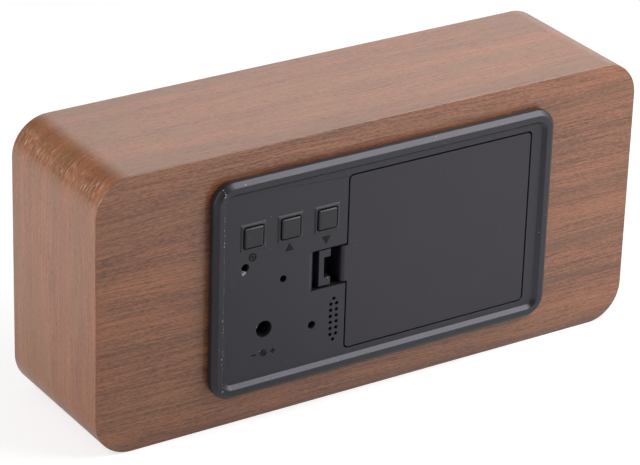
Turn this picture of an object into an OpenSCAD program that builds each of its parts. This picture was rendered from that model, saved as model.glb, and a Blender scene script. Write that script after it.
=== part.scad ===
// Wooden digital alarm clock: a film-wrapped case whose front veneer lets the digits shine through, and a
// plastic rear cover with a battery bay, a snap-fit battery door and three push buttons.
// Millimetres. The origin is the middle of the case's underside, +Z is up, -Y is the front and +Y the back.

/* [Case] */
// Width of the wooden case
case_w = 150; // [140:1:200]
// Height of the wooden case
case_h = 70; // [66:1:100]
// Depth of the wooden case, front to back
case_d = 40; // [38:0.5:60]
// Radius of the four rounded long edges
case_r = 9.3; // [4:0.1:14]
// Thickness of the wooden wall behind the veneer
front_wall = 3; // [2:0.1:5]
// Thickness of the front veneer
veneer_t = 0.6; // [0.4:0.1:1.2]

/* [Rear panel] */
// Sideways shift of the panel from the middle of the case
panel_shift = -1.8; // [-5:0.05:5]
// Height of the panel's centre above the middle of the case
panel_rise = 0.7; // [-2:0.1:2]
// Thickness of the panel's field
plate_t = 2; // [1.6:0.1:3]
// Height of the rim's crest above the field
rim_lift = 1; // [0.4:0.1:2]
// Width of the flat crest
rim_crest = 1.4; // [1:0.1:4]
// Width of the slope from the crest down to the field
rim_slope = 1; // [0.4:0.1:2]
// Chamfer on the rim's outer edge
rim_chamfer = 1.1; // [0.4:0.1:1.6]
// Corner radius of the rim's outer edge
rim_r = 5.3; // [4.8:0.1:9]
// Height of the shadow gap under the rim
shadow_h = 0.4; // [0.2:0.1:0.8]
// Depth of the shadow gap under the rim
shadow_in = 0.6; // [0.3:0.1:1.2]
// Width of the land that rests on the wood, with the shadow gap
flange_land = 3.2; // [2.5:0.1:4.5]
// Depth of the skirt inside the case
skirt_depth = 6; // [3:0.5:7]
// Thickness of the skirt
skirt_t = 1.5; // [1:0.1:2.5]
// Gap between the skirt and the wood
skirt_gap = 0.15; // [0.1:0.05:0.5]
// Field between the rim and the door's hinge side
hinge_margin = 3.2; // [2.6:0.1:8]
// Field above and below the door
door_margin = 1.8; // [1.6:0.1:6]
// Field beside the door that carries the controls
control_w = 33.3; // [32.5:0.1:48]

/* [Battery bay] */
// Diameter of one cell
cell_d = 10.5; // [10:0.1:12]
// Length of one cell
cell_l = 44.5; // [40:0.1:52]
// Cells side by side
cell_count = 4; // [3:1:4]
// Spare width for each cell
cell_play = 0.15; // [0.1:0.05:0.6]
// Room for a contact spring and its plates
spring_room = 4.8; // [4.2:0.1:7]
// Room between the cells and the door
cell_headroom = 0.9; // [0.8:0.1:3]
// Thickness of the bay's walls
bay_wall = 1.4; // [1:0.1:2]
// Thickness of the bay's floor
bay_floor = 1.5; // [1:0.1:2.5]
// Height of the ribs that part the cells
cradle_h = 1.5; // [0.5:0.1:3]
// Thickness of the contact plates
contact_t = 0.4; // [0.3:0.05:0.6]
// Wire diameter of the contact springs
spring_wire = 0.7; // [0.5:0.05:0.8]
// Largest radius of a contact spring, at the middle of its wire
spring_base_r = 3.6; // [3:0.1:4.2]
// Smallest radius of a contact spring, at the middle of its wire
spring_tip_r = 2.4; // [1.5:0.1:2.8]
// Turns of a contact spring
spring_turns = 3.25; // [2:0.25:3.25]

/* [Battery door] */
// Thickness of the door
door_t = 1.5; // [1.2:0.1:1.6]
// Gap around the door
door_gap = 0.35; // [0.3:0.05:0.6]
// Overlap of the door on the bay's edge
door_lap = 1.1; // [0.8:0.1:2]
// Corner radius of the door
door_r = 1; // [0.4:0.1:1]
// Distance of the pivot from the door's edge
pivot_in = 1.5; // [1.5:0.1:2.2]
// Depth of the pivot below the field
pivot_depth = 0.95; // [0.9:0.01:1]
// Radius of the pivot pins
pivot_r = 0.45; // [0.3:0.05:0.5]
// Gap round the pivot pins
pivot_gap = 0.1; // [0.05:0.05:0.15]
// Length of a pivot pin inside its socket
pivot_grip = 0.9; // [0.5:0.1:1]

/* [Latch] */
// Length of the finger notch from the door's edge
notch_l = 8.9; // [8.5:0.1:12]
// Width of the finger notch
notch_w = 10.3; // [8:0.05:12]
// Radius of the notch's corners in the field
notch_r = 1.2; // [0.5:0.1:1.5]
// Rounding of the notch's finger edge
lip_r = 1.9; // [1.5:0.1:1.9]
// Depth of the finger well below the field
well_depth = 8.8; // [8.4:0.1:10]
// Thickness of the well's walls
well_wall = 1.6; // [1.2:0.1:2]
// Thickness of the latch's spring strip
latch_t = 0.8; // [0.6:0.05:1.1]
// Gap on each side of the latch
latch_gap = 0.5; // [0.3:0.05:1]
// Reach of the door's tongue past its edge
tongue_reach = 1.6; // [1.5:0.05:2]
// Rounding of the tongue's edge
tongue_r = 1; // [0.8:0.1:1.4]
// Width of the latch's finger bar
bar_w = 1.45; // [1.2:0.05:2.4]
// Gap between the finger bar and the notch's edge
bar_gap = 1.2; // [0.8:0.1:2.4]
// Drop of the finger bar below the field
bar_drop = 0.4; // [0.2:0.1:1]
// Reach of the finger bar's two arms towards the door
arm_l = 1.8; // [0.5:0.05:2]
// Thickness of the finger bar's two arms
arm_t = 2; // [1:0.1:3]
// Gap between the barb and the notch's edge while the latch is pressed
barb_gap = 0.3; // [0.25:0.05:0.6]

/* [Buttons] */
// Side of a button's square face
button_size = 5.1; // [4:0.1:6]
// Gap round a button
button_gap = 0.25; // [0.2:0.05:0.5]
// Distance between neighbouring buttons
button_pitch = 10; // [8.5:0.05:10.5]
// Distance of the nearest button from the door
button_first = 6.15; // [6:0.05:7]
// Height of the buttons above the panel's centre
button_rise = 13; // [11.5:0.1:14]
// Height of a button's face above the field
button_proud = 0.65; // [0.4:0.05:1.5]
// Rounding of a button's edges
button_r = 0.5; // [0.2:0.1:0.8]
// Height of the lip round a button's hole
button_lip = 0.25; // [0.1:0.05:0.35]
// Width of that lip's flat top
button_lip_w = 0.25; // [0.1:0.05:0.4]
// Width of that lip's outer slope
button_lip_slope = 0.45; // [0.2:0.05:0.6]
// Overlap of a button's flange under the field
button_flange = 0.6; // [0.4:0.1:0.8]
// Travel of a button
button_travel = 0.3; // [0.2:0.05:0.35]

/* [Holes and grille] */
// Radius of the temperature sensor's hole
sensor_r = 1; // [0.5:0.05:1.5]
// Radius of the microphone's hole
mic_hole_r = 0.875; // [0.5:0.025:1.5]
// Radius of the spare hole beside the grille
spare_r = 1; // [0.5:0.05:1.5]
// Radius of the power inlet's hole
inlet_r = 2.1; // [1.9:0.05:2.6]
// Radius of a grille hole
grille_r = 0.45; // [0.3:0.025:0.6]
// Distance between rows of grille holes
grille_pitch = 1.6; // [1.4:0.05:2]
// Rows of two grille holes
grille_rows = 6; // [3:1:7]

/* [Control board] */
// Thickness of the circuit boards
board_t = 1.6; // [1:0.1:2]
// Depth of the control board below the field's inner face
board_depth = 7; // [6.9:0.1:8]
// Radius of the bosses that carry the control board
boss_r = 2.2; // [1.8:0.1:2.4]
// Radius of the screws' shanks
screw_r = 0.9; // [0.6:0.05:1.1]
// Radius of the socket in the power inlet
jack_bore_r = 1.85; // [1.5:0.05:2]
// Radius of the power inlet's centre pin
jack_pin_r = 0.65; // [0.4:0.05:0.9]
// Radius of the sounder
buzzer_r = 4.25; // [3:0.05:4.5]
// Radius of the microphone capsule
mic_r = 3; // [2:0.1:3.2]

/* [Display] */
// Width of a digit
digit_w = 14; // [10:0.5:15]
// Height of a digit
digit_h = 26; // [18:0.5:28]
// Width of a segment
segment_t = 3; // [2:0.1:3.5]
// Gap between the tips of neighbouring segments
segment_gap = 1.2; // [1:0.1:2]
// Distance between digits
digit_pitch = 18; // [17:0.1:19]
// Extra room for the colon
colon_room = 4; // [3:0.1:6]
// Plain border round the digits on the reflector
reflector_border = 3; // [2:0.1:4]
// Depth of the reflector's light cells
cell_depth = 8.4; // [6:0.1:9]
// Thickness of the segments' diffusers
diffuser_t = 1.2; // [0.6:0.1:2]
// Width of the flange that carries the reflector
flange_w = 6; // [5:0.1:6.2]

/* [Hidden] */
$fn = 48;

// Overrun of a cutting tool past the face that it cuts
cut = 1;
// Overlap that joins two forms of one moulding
weld = 0.5;
// Gap between inner pieces that only rest against each other
seat = 0.05;

// Depths, front to back
front_y = -case_d / 2;
wall_y = front_y + veneer_t;
pocket_y = wall_y + front_wall;
back_y = case_d / 2;
field_y = back_y + plate_t;

// Battery door and bay, seen square to the back
bay_l = cell_l + spring_room;
cell_pitch = cell_d + cell_play;
bay_h = cell_count * cell_pitch;
door_w = bay_l + 2 * door_lap;
door_h = bay_h + 2 * door_lap;

// Panel outline, worked out from what it carries
rim_w = rim_chamfer + rim_crest + rim_slope;
field_w = hinge_margin + door_w + control_w;
field_h = door_h + 2 * door_margin;
panel_w = field_w + 2 * rim_w;
panel_h = field_h + 2 * rim_w;
panel_x = panel_shift;
panel_z = case_h / 2 + panel_rise;
pocket_w = panel_w - 2 * flange_land;
pocket_h = panel_h - 2 * flange_land;
least_r = 1;
pocket_r = max(rim_r - flange_land, least_r);
skirt_w = pocket_w - 2 * skirt_gap;
skirt_h = pocket_h - 2 * skirt_gap;
skirt_r = max(pocket_r - skirt_gap, least_r);

// Door edges and bay walls
hinge_x = panel_x - field_w / 2 + hinge_margin;
latch_x = hinge_x + door_w;
bay_x = (hinge_x + latch_x) / 2;
bay_x0 = bay_x - bay_l / 2;
bay_x1 = bay_x + bay_l / 2;
bay_z1 = panel_z + bay_h / 2;
opening_w = door_w + 2 * door_gap;
opening_h = door_h + 2 * door_gap;
door_y = field_y - door_t;
ledge_gap = 0.1;
ledge_y = door_y - ledge_gap;
shelf_t = 3;
shelf_lap = 1.4;
cradle_w = 1;
cradle_l = 8.9;
cell_y = door_y - cell_headroom - cell_d / 2;
floor_y = cell_y - cell_d / 2;
pivot_x = hinge_x + pivot_in;
pivot_y = field_y - pivot_depth;
swing_r = norm([pivot_in, max(pivot_depth, door_t - pivot_depth)]);
swing_gap = 0.27;
relief_y = pivot_y - swing_r - swing_gap;

// Finger notch, well and latch
notch_x = latch_x + notch_l;
bay_out_x = bay_x1 + bay_wall;
well_y = field_y - well_depth;
well_floor = 1.2;
well_x = notch_x + well_wall;
well_h = notch_w + 2 * well_wall;
saddle_depth = 1.6;
saddle_y = ledge_y - saddle_depth;
catch_drop = 0.5;
catch_y = back_y - catch_drop;
catch_h = 1.6;
catch_in = 0.8;
tongue_x = latch_x + tongue_reach;
bar_x1 = notch_x - bar_gap;
bar_x0 = bar_x1 - bar_w;
bar_y1 = field_y - bar_drop;
bar_h = 2.2;
bar_y0 = bar_y1 - bar_h;
latch_w = notch_w - 2 * latch_gap;
bend_r = (bar_x0 + latch_t - (tongue_x - latch_t)) / 2;
bend_x = tongue_x - latch_t + bend_r;
bend_gap = 0.7;
bend_y = well_y + bend_r + bend_gap;
barb_drop = 0.3;
barb_y1 = catch_y - barb_drop;
barb_root = 0.6;
barb_tip_h = 0.4;
barb_x = notch_x - barb_gap;

// Places of the controls: distance from the door's latch edge and height above the panel's centre
sensor_at = [28.1, 5.4];
mic_at = [17.7, 0.1];
spare_at = [9.5, -14];
inlet_at = [22.7, -11.7];
grille_at = [3.45, -13.9];
grille_columns = 1.6;
grille_end = 1.4;
button_hole = button_size + 2 * button_gap;

// Control board and what stands on it
board_back_y = back_y - board_depth;
board_front_y = board_back_y - board_t;
board_edge = 0.5;
board_x0 = bay_out_x + board_edge;
board_x1 = panel_x + skirt_w / 2 - skirt_t - board_edge;
board_z0 = panel_z - skirt_h / 2 + skirt_t + board_edge;
board_z1 = panel_z + skirt_h / 2 - skirt_t - board_edge;
boss_in = 2.9;
boss_shift = 1.2;
lower_boss = 13.4;
boss_places = [
  [board_x0 + boss_in + boss_shift, board_z1 - boss_in], [board_x1 - boss_in, board_z1 - boss_in],
  [board_x1 - boss_in, board_z0 + boss_in], [latch_x + lower_boss, board_z0 + boss_in]
];
screw_gap = 0.1;
screw_grip = 5;
screw_short = 0.4;
screw_head_r = 1.8;
screw_head_h = 1.2;
switch_size = 6;
switch_h = 3.5;
plunger_r = 1.7;
plunger_gap = 0.2;
plunger_h = 1.9;
plunger_rise = 0.8;
plunger_room = 0.1;
plunger_y1 = board_back_y + switch_h + plunger_rise;
plunger_y0 = plunger_y1 - plunger_h;
flange_gap = 0.3;
flange_t = 1.3;
flange_y1 = back_y - flange_gap;
flange_y0 = flange_y1 - flange_t;
stem_r = 1.5;
jack_size = 6.5;
jack_gap = 0.2;
jack_y1 = back_y - jack_gap;
jack_pin_drop = 0.8;
jack_floor = 0.8;
buzzer_h = 4;
buzzer_gap = 0.6;
buzzer_port = [1, 1];
buzzer_x = max(latch_x + grille_at[0], bay_out_x + buzzer_r + buzzer_gap);
mic_h = 4.8;
mic_lip = 0.5;
mic_recess = 0.4;
bead_r = 0.95;
bead_drop = 1.4;
bead_y = back_y - bead_drop;
leg_r = 0.25;
leg_gap = 0.5;
chip_at = [17.7, -1.9];
chip_size = 9;
chip_h = 1.2;
chip_pins = 6;
chip_pin_w = 0.5;
chip_pin_l = 1.2;
chip_pin_t = 0.3;
can_r = 1;
can_l = 6;
can_at = [12.4, -8];
can_leg = 0.4;
can_reach = 1;

// Battery contacts: cells count from the top, and each end wall carries springs and flat plates in turn
contact_space = 1.5;
contact_w = cell_pitch - contact_space;
contact_lift = 0.4;
contact_y0 = floor_y + contact_lift;
contact_h = 8;
tab_w = 3;
tab_lift = 0.9;
tab_y = floor_y + tab_lift;
tab_out = 1.6;
tab_l = bay_wall + tab_out;
tab_gap = 0.2;
nub_r = 1.8;
nub_h = 0.4;
lead_r = 0.6;
lead_bend = 1.4;
lead_run = 2.6;
lead_lap = 0.8;
spring_squeeze = 0.8;
spring_l = spring_room - 2 * contact_t - nub_h + spring_squeeze;
spring_rings = 8;
spring_sides = 6;

// Display, counted from the front
display_x = 0;
display_z = case_h / 2;
digits = 4;
digit_row = (digits - 1) * digit_pitch + colon_room + digit_w;
reflector_w = digit_row + 2 * reflector_border;
reflector_h = digit_h + 2 * reflector_border;
window_gap = 0.2;
display_board_y = wall_y + cell_depth;
display_back_y = display_board_y + board_t;
board_side = 2;
display_board_w = reflector_w + 2 * board_side;
display_board_h = reflector_h + 2 * flange_w;
display_pocket = 0.5;
flange_plate = 1.5;
post_r = 2.5;
post_edge = [0.5, 0.3];
post_x = display_board_w / 2 - post_r - post_edge[0];
post_z = display_board_h / 2 - post_r - post_edge[1];
post_places = [for (sx = [-1, 1], sz = [-1, 1]) [display_x + sx * post_x, display_z + sz * post_z]];
wall_skin = 0.8;
wall_grip = front_wall - wall_skin;
colon_r = 1.5;
colon_rise = digit_h / 5;
diffuser_gap = 0.1;
led_size = [2, 1.2];
led_h = 0.8;

// Ribbon cable between the two boards
plug_h = 5;
plug_size = [9.4, 4];
ribbon_w = 7.6;
ribbon_t = 0.9;
ribbon_bend = 3;
ribbon_shift = [5, 4];
ribbon_x = (board_x0 + board_x1) / 2 + ribbon_shift[0];
ribbon_z = panel_z + ribbon_shift[1];

// Extrudes an outline drawn in X and Z from depth y0 to depth y1
module slab(y0, y1) {
  translate([0, y1, 0]) rotate([90, 0, 0]) linear_extrude(y1 - y0) children();
}

// Rounded rectangle about its centre
module rounded(w, h, r) {
  square([w - 2 * r, h], center = true);
  square([w, h - 2 * r], center = true);
  for (sx = [-1, 1], sz = [-1, 1]) translate([sx * (w / 2 - r), sz * (h / 2 - r)]) circle(r);
}

// Box between three pairs of limits
module block(x, y, z) {
  translate([x[0], y[0], z[0]]) cube([x[1] - x[0], y[1] - y[0], z[1] - z[0]]);
}

// Round peg along the depth, centred at a place in X and Z
module peg(place, r, y0, y1) {
  translate([place[0], y0, place[1]]) rotate([-90, 0, 0]) cylinder(r = r, h = y1 - y0);
}

// Limits of a width about its middle
function about(c, w) = [c - w / 2, c + w / 2];

// Moves an outline to the panel's centre
module on_panel() {
  translate([panel_x, panel_z]) children();
}

// Place of a control: X and Z in the part's frame
function control(at) = [latch_x + at[0], panel_z + at[1]];
function button_place(i) = control([button_first + i * button_pitch, button_rise]);
function cell_z(i) = bay_z1 - (i + 0.5) * cell_pitch;

module case_outline() {
  translate([0, case_h / 2]) rounded(case_w, case_h, case_r);
}

// Seven-segment figure: place of each bar from the digit's centre, and its turn
function bar_places() =
  let (x = (digit_w - segment_t) / 2, z = (digit_h - segment_t) / 4)
  [[0, 2 * z, 0], [0, 0, 0], [0, -2 * z, 0], [-x, z, 90], [x, z, 90], [-x, -z, 90], [x, -z, 90]];
function bar_length(turn) =
  (turn == 0 ? digit_w - segment_t : (digit_h - segment_t) / 2) - segment_gap;
function digit_x(i) =
  display_x + (i - (digits - 1) / 2) * digit_pitch + sign(i - (digits - 1) / 2) * colon_room / 2;

module segment_bar(l, t) {
  tip = l / 2;
  shoulder = (l - t) / 2;
  polygon([
    [-tip, 0], [-shoulder, t / 2], [shoulder, t / 2],
    [tip, 0], [shoulder, -t / 2], [-shoulder, -t / 2]
  ]);
}

// Bars of all digits and the colon's dots, each drawn smaller by a gap all round
module figures(gap) {
  for (i = [0 : digits - 1], b = bar_places())
    translate([digit_x(i) + b[0], display_z + b[1]]) rotate(b[2])
      segment_bar(bar_length(b[2]) - 2 * gap, segment_t - 2 * gap);
  for (s = [-1, 1]) translate([display_x, display_z + s * colon_rise]) circle(colon_r - gap);
}

module wood_case() {
  color("#957063") difference() {
    slab(wall_y, back_y) case_outline();
    slab(pocket_y, back_y + cut) on_panel() rounded(pocket_w, pocket_h, pocket_r);
    slab(pocket_y, display_back_y + cut) translate([display_x, display_z])
      square([display_board_w, display_board_h] + 2 * display_pocket * [1, 1], center = true);
    slab(wall_y - cut, pocket_y + cut) translate([display_x, display_z])
      square([reflector_w, reflector_h] + 2 * window_gap * [1, 1], center = true);
    for (p = post_places) peg(p, screw_r + screw_gap, pocket_y - wall_grip, pocket_y + cut);
  }
}

module front_veneer() {
  color("#9a7768") slab(front_y, wall_y) case_outline();
}

// Light box behind the veneer: one open cell for each bar, a flange on the wall and a post at each corner
module display_reflector() {
  color("white") difference() {
    union() {
      slab(wall_y, display_board_y) translate([display_x, display_z])
        square([reflector_w, reflector_h], center = true);
      slab(pocket_y, pocket_y + flange_plate) translate([display_x, display_z])
        square([display_board_w, display_board_h], center = true);
      for (p = post_places) peg(p, post_r, pocket_y, display_board_y);
    }
    slab(wall_y - cut, display_board_y + cut) figures(0);
    for (p = post_places) peg(p, screw_r + screw_gap, pocket_y - cut, display_board_y + cut);
  }
}

module segment_diffusers() {
  color("ivory") slab(wall_y, wall_y + diffuser_t) figures(diffuser_gap);
}

module display_leds() {
  color("khaki") slab(display_board_y - led_h, display_board_y) {
    for (i = [0 : digits - 1], b = bar_places())
      translate([digit_x(i) + b[0], display_z + b[1]]) rotate(b[2]) square(led_size, center = true);
    for (s = [-1, 1]) translate([display_x, display_z + s * colon_rise]) square(led_size, center = true);
  }
}

module display_board() {
  color("darkgreen") difference() {
    slab(display_board_y, display_back_y) translate([display_x, display_z])
      square([display_board_w, display_board_h], center = true);
    for (p = post_places) peg(p, screw_r + screw_gap, display_board_y - cut, display_back_y + cut);
  }
}

// Round-headed screw whose head rests on a face at depth y and whose shank runs towards dir
module screw(place, y, dir, l) {
  peg(place, screw_head_r, min(y, y - dir * screw_head_h), max(y, y - dir * screw_head_h));
  peg(place, screw_r, min(y, y + dir * l), max(y, y + dir * l));
}

module display_screws() {
  color("silver") for (p = post_places)
    screw(p, display_back_y, -1, display_back_y - pocket_y + wall_grip - screw_short);
}

// Ribbon: out of one plug, round two quarter bends and into the other plug
module ribbon_cable() {
  y0 = display_back_y + plug_h;
  y1 = board_front_y - plug_h;
  run = (y1 - y0) / 2 - ribbon_bend;
  z1 = ribbon_z + 2 * ribbon_bend;
  color("lightgray") translate([ribbon_x - ribbon_w / 2, 0, 0]) {
    block([0, ribbon_w], [y0, y0 + run], about(ribbon_z, ribbon_t));
    block([0, ribbon_w], [y1 - run, y1], about(z1, ribbon_t));
    translate([0, y0 + run, ribbon_z + ribbon_bend]) ribbon_bend_form(180);
    translate([0, y1 - run, z1 - ribbon_bend]) ribbon_bend_form(0);
  }
}

// Quarter bend of the ribbon about an axis along X
module ribbon_bend_form(turn) {
  rotate([turn, 0, 0]) rotate([90, 0, 90]) rotate([0, 0, 90]) rotate_extrude(angle = 90)
    translate([ribbon_bend - ribbon_t / 2, 0]) square([ribbon_t, ribbon_w]);
}

module ribbon_plugs() {
  color("ivory") {
    slab(display_back_y, display_back_y + plug_h) translate([ribbon_x, ribbon_z])
      square(plug_size, center = true);
    slab(board_front_y - plug_h, board_front_y) translate([ribbon_x, ribbon_z + 2 * ribbon_bend])
      square(plug_size, center = true);
  }
}

// Section through the rim: distance in from its outer edge, height above the wood
rim_top = plate_t + rim_lift;
rim_section = [
  [shadow_in, 0], [shadow_in, shadow_h], [0, shadow_h], [0, rim_top - rim_chamfer], [rim_chamfer, rim_top],
  [rim_chamfer + rim_crest, rim_top], [rim_w, plate_t], [rim_w, 0]
];

// Rim: the section along four straight sides and round four corners
module rim() {
  translate([panel_x, back_y, panel_z]) rotate([-90, 0, 0]) for (k = [0 : 3]) rotate([0, 0, 90 * k]) {
    w = k % 2 == 0 ? panel_w : panel_h;
    h = k % 2 == 0 ? panel_h : panel_w;
    translate([w / 2, h / 2 - rim_r, 0]) rotate([90, 0, 0]) linear_extrude(h - 2 * rim_r)
      polygon([for (p = rim_section) [-p[0], p[1]]]);
    translate([w / 2 - rim_r, h / 2 - rim_r, 0]) rotate_extrude(angle = 90)
      polygon([for (p = rim_section) [rim_r - p[0], p[1]]]);
  }
}

module skirt() {
  slab(back_y - skirt_depth, back_y + weld) on_panel() difference() {
    rounded(skirt_w, skirt_h, skirt_r);
    square([skirt_w - 2 * skirt_t, skirt_h - 2 * skirt_t], center = true);
  }
}

// Outlines about the bay's centre
module on_bay() {
  translate([bay_x, panel_z]) children();
}

module bay_shell() {
  slab(floor_y - bay_floor, ledge_y - shelf_t + weld) on_bay()
    square([bay_l + 2 * bay_wall, bay_h + 2 * bay_wall], center = true);
  slab(ledge_y - shelf_t, ledge_y) on_bay()
    square([opening_w + 2 * shelf_lap, opening_h + 2 * shelf_lap], center = true);
}

// Space for the cells, with low ribs left between them
module bay_hollow() {
  difference() {
    slab(floor_y, field_y + cut) on_bay() square([bay_l, bay_h], center = true);
    for (i = [1 : cell_count - 1], s = [-1, 1]) {
      z = bay_z1 - i * cell_pitch;
      x = bay_x + s * cell_l / 4;
      block(about(x, cradle_l), [floor_y - cut, floor_y + cradle_h], about(z, cradle_w));
    }
  }
  slab(ledge_y, field_y + cut) on_bay() rounded(opening_w, opening_h, door_r + door_gap);
  block([hinge_x - door_gap, pivot_x + swing_r], [relief_y, field_y], about(panel_z, opening_h));
  for (s = [-1, 1])
    translate([pivot_x, pivot_y, panel_z + s * (opening_h + pivot_grip + seat - weld) / 2])
      cylinder(r = pivot_r + pivot_gap, h = pivot_grip + seat + weld, center = true);
}

module well_shell() {
  block([bay_out_x - weld, well_x], [well_y - well_floor, back_y + weld], about(panel_z, well_h));
}

// Finger notch through the field, its rounded lip, the well behind it and the recess that the barb hooks into
module well_hollow() {
  z = about(panel_z, notch_w);
  lip_y = field_y - lip_r;
  block([bay_out_x, notch_x], [well_y, lip_y + weld], z);
  block([bay_x1 - cut, bay_out_x + cut], [saddle_y, field_y], z);
  block([notch_x - cut, notch_x + catch_in], [catch_y - catch_h, catch_y], z);
  difference() {
    slab(lip_y, field_y + cut) translate([latch_x + notch_l / 2, panel_z])
      rounded(notch_l + 2 * lip_r, notch_w, notch_r);
    translate([notch_x + lip_r, lip_y, panel_z]) cylinder(r = lip_r, h = notch_w + cut, center = true);
  }
}

// Raised lip round a button's hole: two crossed wedges
module button_lip_form(place) {
  translate([place[0], field_y, place[1]]) intersection() {
    linear_extrude(2 * button_hole, center = true) lip_wedge();
    rotate([0, 90, 0]) linear_extrude(2 * button_hole, center = true) lip_wedge();
  }
}

// Section through that lip: flat top and sloping outer sides
module lip_wedge() {
  top = button_hole / 2 + button_lip_w;
  foot = top + button_lip_slope;
  polygon([[-foot, -weld], [foot, -weld], [foot, 0], [top, button_lip], [-top, button_lip], [-foot, 0]]);
}

module button_hole_form(place) {
  slab(back_y - cut, field_y + cut) translate(place)
    rounded(button_hole, button_hole, button_r + button_gap);
}

module grille_holes() {
  for (r = [0 : grille_rows - 1], s = [-1, 1])
    peg(control(grille_at + [s * grille_columns / 2, (r - (grille_rows - 1) / 2) * grille_pitch]), grille_r,
      back_y - cut, field_y + cut);
  for (s = [-1, 1])
    peg(control(grille_at + [0, s * ((grille_rows - 1) / 2 * grille_pitch + grille_end)]), grille_r,
      back_y - cut, field_y + cut);
}

// Rear cover, one moulding: rim, field, skirt, battery bay, finger well and board bosses
module rear_cover() {
  color("#3f3e42") difference() {
    union() {
      rim();
      slab(back_y, field_y) on_panel()
        rounded(panel_w - 2 * (shadow_in + weld), panel_h - 2 * (shadow_in + weld), rim_r - shadow_in - weld);
      for (i = [0 : 2]) button_lip_form(button_place(i));
      skirt();
      bay_shell();
      well_shell();
      for (p = boss_places) peg(p, boss_r, board_back_y, back_y + weld);
    }
    bay_hollow();
    well_hollow();
    for (i = [0 : 2]) button_hole_form(button_place(i));
    peg(control(sensor_at), sensor_r, back_y - cut, field_y + cut);
    peg(control(mic_at), mic_hole_r, back_y - cut, field_y + cut);
    peg(control(spare_at), spare_r, back_y - cut, field_y + cut);
    peg(control(inlet_at), inlet_r, back_y - cut, field_y + cut);
    grille_holes();
    for (p = boss_places) peg(p, screw_r + screw_gap, board_back_y - cut, board_back_y + screw_grip);
    for (z = [cell_z(0), cell_z(cell_count - 1)])
      block([bay_x1 - cut, bay_out_x + cut], about(tab_y, contact_t + 2 * tab_gap),
        about(z, tab_w + 2 * tab_gap));
  }
}

// Side of the latch: tongue, spring strip bent like a U, finger bar and barb
module latch_section() {
  translate([latch_x - weld, door_y]) square([tongue_reach + weld - tongue_r, door_t]);
  translate([tongue_x - tongue_r, field_y - tongue_r]) circle(tongue_r);
  translate([tongue_x - latch_t, bend_y]) square([latch_t, field_y - tongue_r - bend_y]);
  translate([bend_x, bend_y]) difference() {
    circle(bend_r);
    circle(bend_r - latch_t);
    translate([-bend_r - cut, 0]) square([2 * bend_r + 2 * cut, bend_r + cut]);
  }
  translate([bar_x0, bend_y]) square([latch_t, bar_y1 - bend_y - weld]);
  translate([bar_x0, bar_y0]) square([bar_w, bar_y1 - bar_y0]);
  polygon([
    [bar_x0, bend_y + barb_root], [barb_x, barb_y1 - barb_tip_h], [barb_x, barb_y1], [bar_x0, barb_y1]
  ]);
}

// Battery door: flush plate with shallow ribs, two pivot pins and the snap latch
module battery_door() {
  rib_h = 0.5;
  rib_w = 1;
  color("#474549") {
    slab(door_y, field_y) on_bay() rounded(door_w, door_h, door_r);
    for (i = [1 : cell_count - 1])
      block(about(bay_x, bay_l - 2 * spring_room), [door_y - rib_h, door_y + weld],
        about(bay_z1 - i * cell_pitch, rib_w));
    for (s = [-1, 1])
      translate([pivot_x, pivot_y, panel_z + s * (door_h + door_gap + pivot_grip - weld) / 2])
        cylinder(r = pivot_r, h = door_gap + pivot_grip + weld, center = true);
    translate([0, 0, panel_z - latch_w / 2]) linear_extrude(latch_w) latch_section();
    for (s = [-1, 1])
      block([bar_x0 - arm_l, bar_x0 + weld], [bar_y0, bar_y1],
        about(panel_z + s * (latch_w - arm_t) / 2, arm_t));
  }
}

// Contact plates on the two end walls. On the latch side the first and last are single, with a solder tab;
// the others bridge two cells, and each flat contact has a low nub.
module contact_plates() {
  y = [contact_y0, contact_y0 + contact_h];
  color("silver") {
    for (i = [0 : cell_count - 1]) {
      single = i == 0 || i == cell_count - 1;
      z = about(cell_z(i), contact_w);
      if (single) {
        block([bay_x1 - contact_t, bay_x1], y, z);
        block([bay_x1 - contact_t, bay_x1 + tab_l], about(tab_y, contact_t), about(cell_z(i), tab_w));
      }
      else if (i % 2 == 1) {
        block([bay_x1 - contact_t, bay_x1], y, [cell_z(i + 1) - contact_w / 2, z[1]]);
      }
      if (i % 2 == 0) {
        last = min(i + 1, cell_count - 1);
        block([bay_x0, bay_x0 + contact_t], y, [cell_z(last) - contact_w / 2, z[1]]);
      }
      s = i % 2 == 0 ? 1 : -1;
      x = s > 0 ? bay_x0 + contact_t : bay_x1 - contact_t;
      translate([x - s * contact_t / 2, cell_y, cell_z(i)]) rotate([0, 90 * s, 0])
        cylinder(r = nub_r, h = nub_h + contact_t / 2);
    }
  }
}

// Centre line of a contact spring: a tapering coil that starts and ends with a short straight
function coil_point(t) =
  let (r = spring_base_r + (spring_tip_r - spring_base_r) * t / spring_turns, a = 360 * t)
  [r * cos(a), r * sin(a), spring_wire / 2 + seat + t * (spring_l - spring_wire - seat) / spring_turns];
function coil_side(t) = [cos(360 * t), sin(360 * t), 0];
function coil_along(t) = [-sin(360 * t), cos(360 * t), 0];
coil_steps = round(spring_turns * spring_rings);
coil_line = [for (i = [0 : coil_steps]) coil_point(i / spring_rings)];
coil_rings = concat(
  [[coil_line[0] - spring_wire * coil_along(0), coil_side(0)]],
  [for (i = [0 : coil_steps]) [coil_line[i], coil_side(i / spring_rings)]],
  [[coil_line[coil_steps] + spring_wire * coil_along(spring_turns), coil_side(spring_turns)]]
);
coil_near = spring_rings - 3;
coil_spans = [for (i = [0 : coil_steps], j = [i + coil_near : 1 : coil_steps])
  norm(coil_line[i] - coil_line[j])];
coil_gap = min(coil_spans) - spring_wire;
echo("Least gap between a contact spring's turns", coil_gap);

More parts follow.
